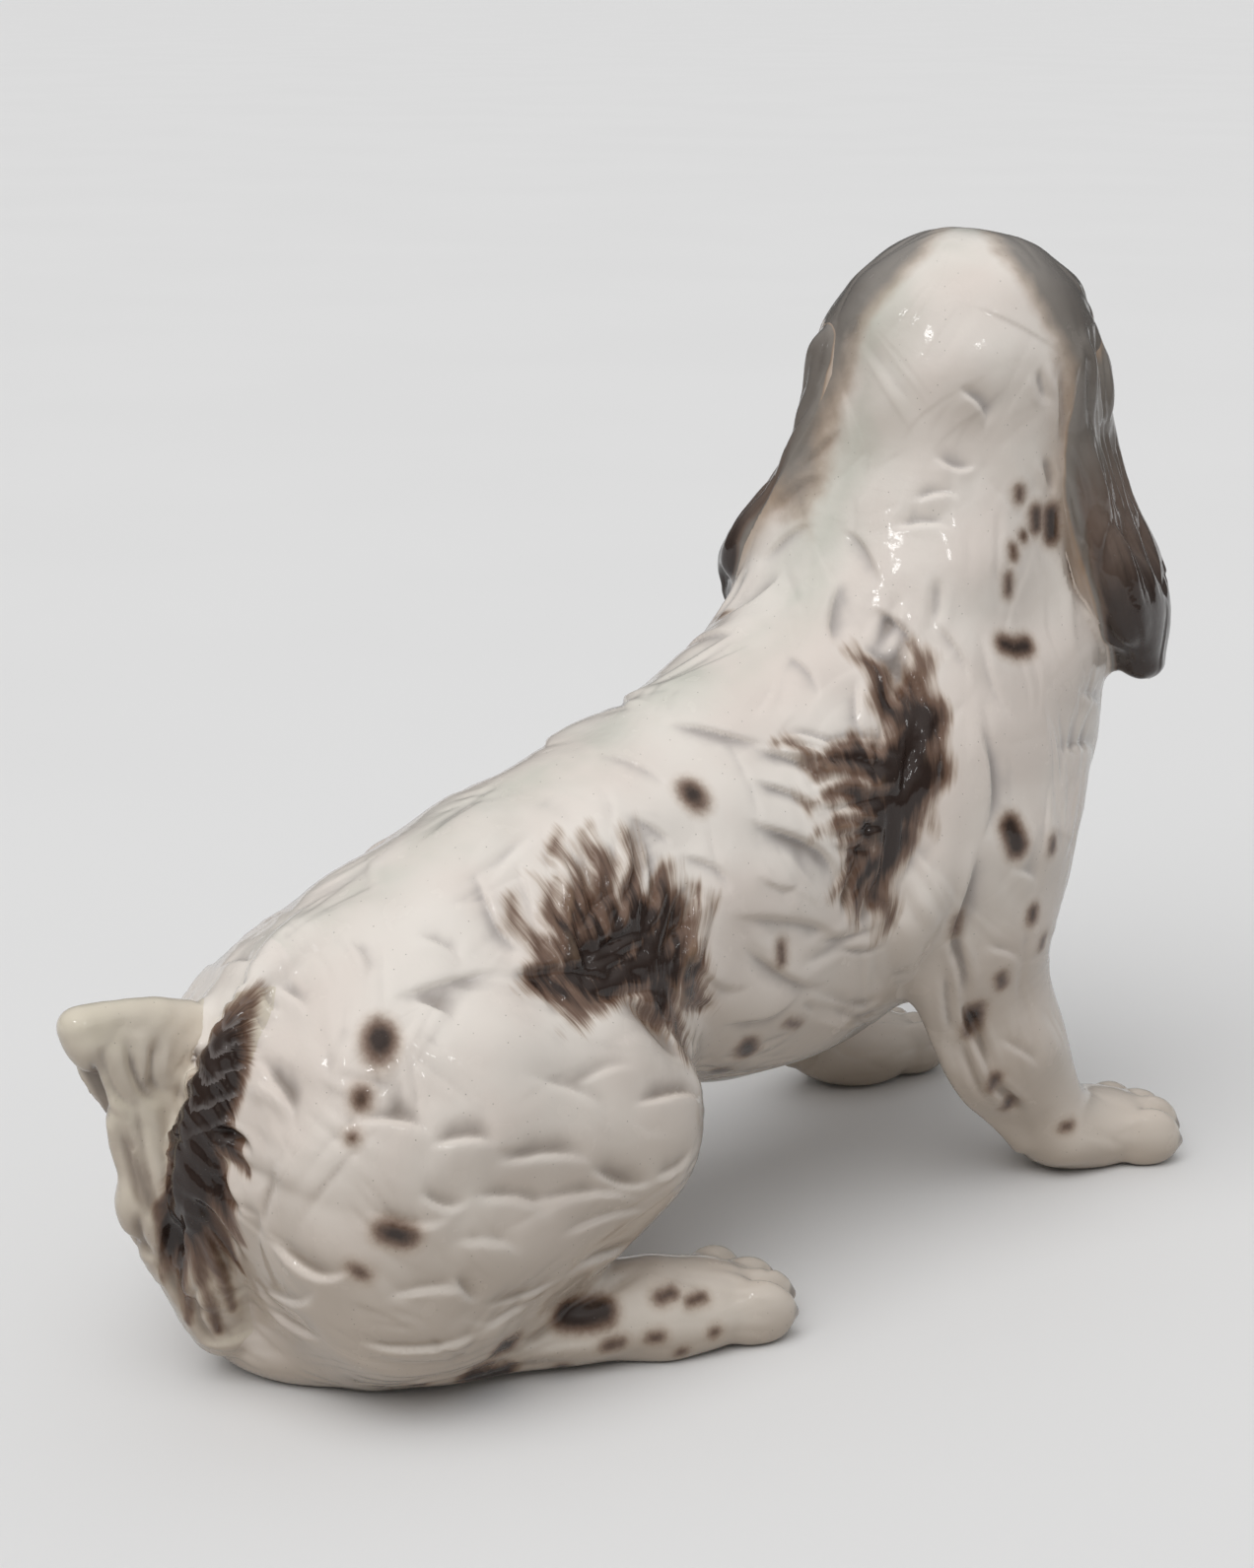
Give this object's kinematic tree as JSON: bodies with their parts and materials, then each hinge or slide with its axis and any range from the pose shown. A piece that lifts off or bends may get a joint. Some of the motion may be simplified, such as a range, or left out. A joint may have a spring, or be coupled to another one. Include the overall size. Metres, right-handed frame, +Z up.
{
  "type": "ceramic dog figurine",
  "caption": "Seated setter figurine in glazed ceramic: a hollow torso with a head turned over the left shoulder, hanging ears, four legs and a raised plume tail.",
  "frame": {"origin": "middle of the flat unglazed face under the seat", "axes": "+Z up, the forepaws point along -Y, +X is the dog's left"},
  "size_m": [0.1506, 0.3817, 0.295],
  "materials": {
    "white_glaze": "clear gloss glaze over warm white, with airbrushed dark brown patches and spots",
    "brown_glaze": "clear gloss glaze over dark grey-brown",
    "cream_glaze": "clear gloss glaze over warm cream, with a dark brown stem"
  },
  "bodies": {
    "root": {"torso_shell": "white_glaze", "head_shell": "white_glaze", "right_ear": "brown_glaze", "left_ear": "brown_glaze", "right_foreleg": "white_glaze", "left_foreleg": "white_glaze", "right_hind_leg": "white_glaze", "left_hind_leg": "white_glaze", "tail": "cream_glaze"}
  },
  "joints": []
}
